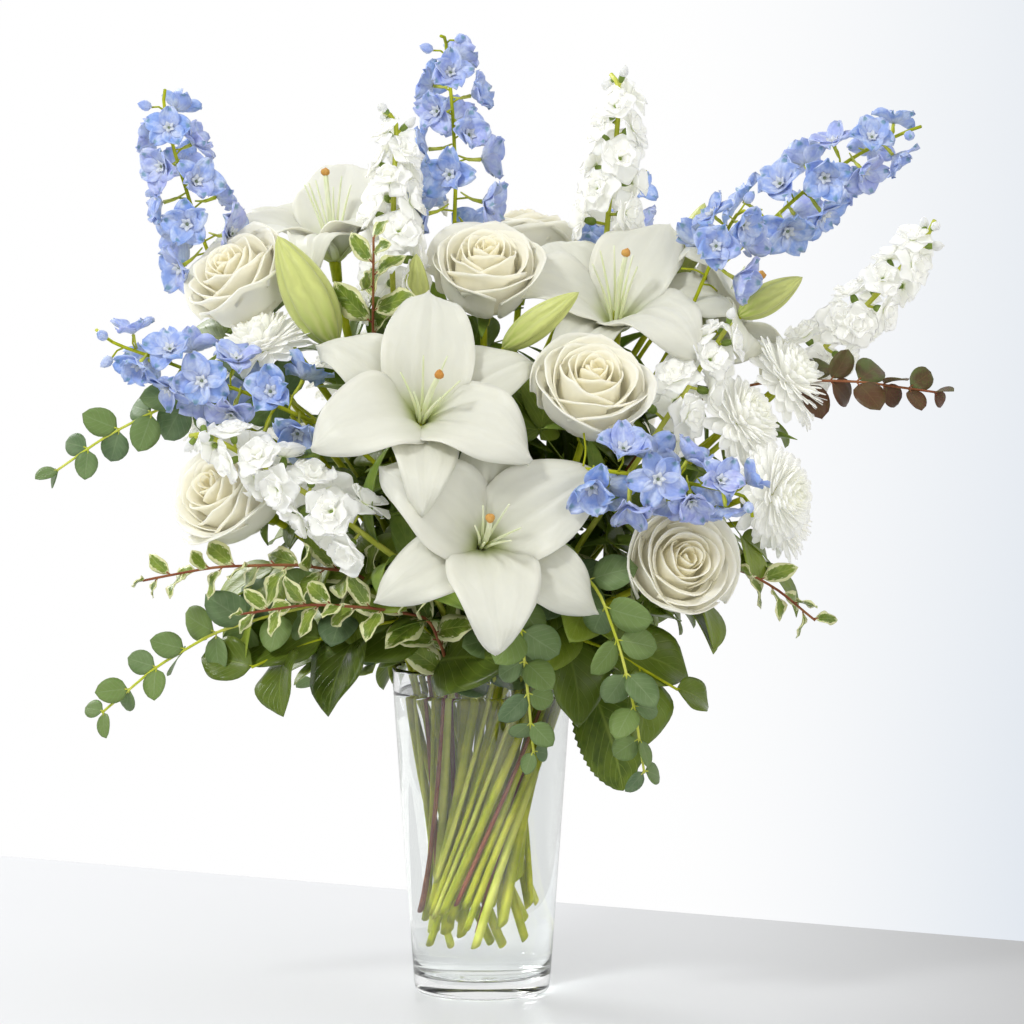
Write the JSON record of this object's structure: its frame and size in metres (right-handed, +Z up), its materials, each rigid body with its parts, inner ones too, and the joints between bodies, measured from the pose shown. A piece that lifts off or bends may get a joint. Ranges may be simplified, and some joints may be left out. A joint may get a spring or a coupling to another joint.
{
  "type": "vase of cut flowers",
  "caption": "Bouquet of white lilies with roses, chrysanthemums, stock, blue delphinium and mixed foliage, standing in a tall tapered glass vase of water.",
  "frame": {"origin": "centre of the vase's base, on the surface it stands on", "axes": "+Z up, out of the vase's mouth; -Y towards the front of the bouquet, where the two largest lilies face; +X to its right as seen from the front"},
  "size_m": [0.6208, 0.402, 0.677],
  "materials": {
    "vase_glass": "polished",
    "water": "polished",
    "lily_tepal": "satin",
    "rose_petal": "matte",
    "stem_green": "satin",
    "chrysanthemum_petal": "matte",
    "stock_petal": "matte",
    "delphinium_petal": "matte",
    "eucalyptus_leaf": "satin",
    "gum_leaf": "satin",
    "pittosporum_leaf": "satin",
    "salal_leaf": "satin"
  },
  "bodies": {
    "root": {"vase": "vase_glass", "water": "water", "lily_front_upper_bloom": "lily_tepal", "lily_front_lower_bloom": "lily_tepal", "lily_back_right_bloom": "lily_tepal", "lily_back_left_bloom": "lily_tepal", "lily_right_bloom": "lily_tepal", "rose_centre_bloom": "rose_petal", "rose_low_right_bloom": "rose_petal", "rose_top_bloom": "rose_petal", "rose_upper_left_bloom": "rose_petal", "rose_low_left_bloom": "rose_petal", "rose_back_top_bloom": "rose_petal", "rose_back_bloom": "rose_petal", "lily_front_upper_stem": "stem_green", "lily_front_lower_stem": "stem_green", "lily_back_right_stem": "stem_green", "lily_back_left_stem": "stem_green", "lily_right_stem": "stem_green", "rose_centre_stem": "stem_green", "rose_low_right_stem": "stem_green", "rose_top_stem": "stem_green", "rose_upper_left_stem": "stem_green", "rose_low_left_stem": "stem_green", "rose_back_top_stem": "stem_green", "rose_back_stem": "stem_green", "chrysanthemum_left": "chrysanthemum_petal", "chrysanthemum_far_left": "chrysanthemum_petal", "chrysanthemum_right": "chrysanthemum_petal", "chrysanthemum_mid_right": "chrysanthemum_petal", "chrysanthemum_far_right": "chrysanthemum_petal", "chrysanthemum_side": "chrysanthemum_petal", "chrysanthemum_back_left": "chrysanthemum_petal", "chrysanthemum_back_low": "chrysanthemum_petal", "stock_left": "stock_petal", "stock_upper_left": "stock_petal", "stock_top": "stock_petal", "stock_right": "stock_petal", "stock_centre_right": "stock_petal", "stock_back": "stock_petal", "delphinium_left": "delphinium_petal", "delphinium_top": "delphinium_petal", "delphinium_far_right": "delphinium_petal", "delphinium_right": "delphinium_petal", "delphinium_low_left": "delphinium_petal", "delphinium_centre_right": "delphinium_petal", "delphinium_back": "delphinium_petal", "eucalyptus_left": "eucalyptus_leaf", "eucalyptus_low_left": "eucalyptus_leaf", "eucalyptus_front": "eucalyptus_leaf", "eucalyptus_front_right": "eucalyptus_leaf", "eucalyptus_back": "eucalyptus_leaf", "gum_right": "gum_leaf", "pittosporum_left": "pittosporum_leaf", "pittosporum_low_left": "pittosporum_leaf", "pittosporum_upper_left": "pittosporum_leaf", "pittosporum_right": "pittosporum_leaf", "salal_left": "salal_leaf", "salal_right": "salal_leaf", "salal_back": "salal_leaf"}
  },
  "joints": []
}
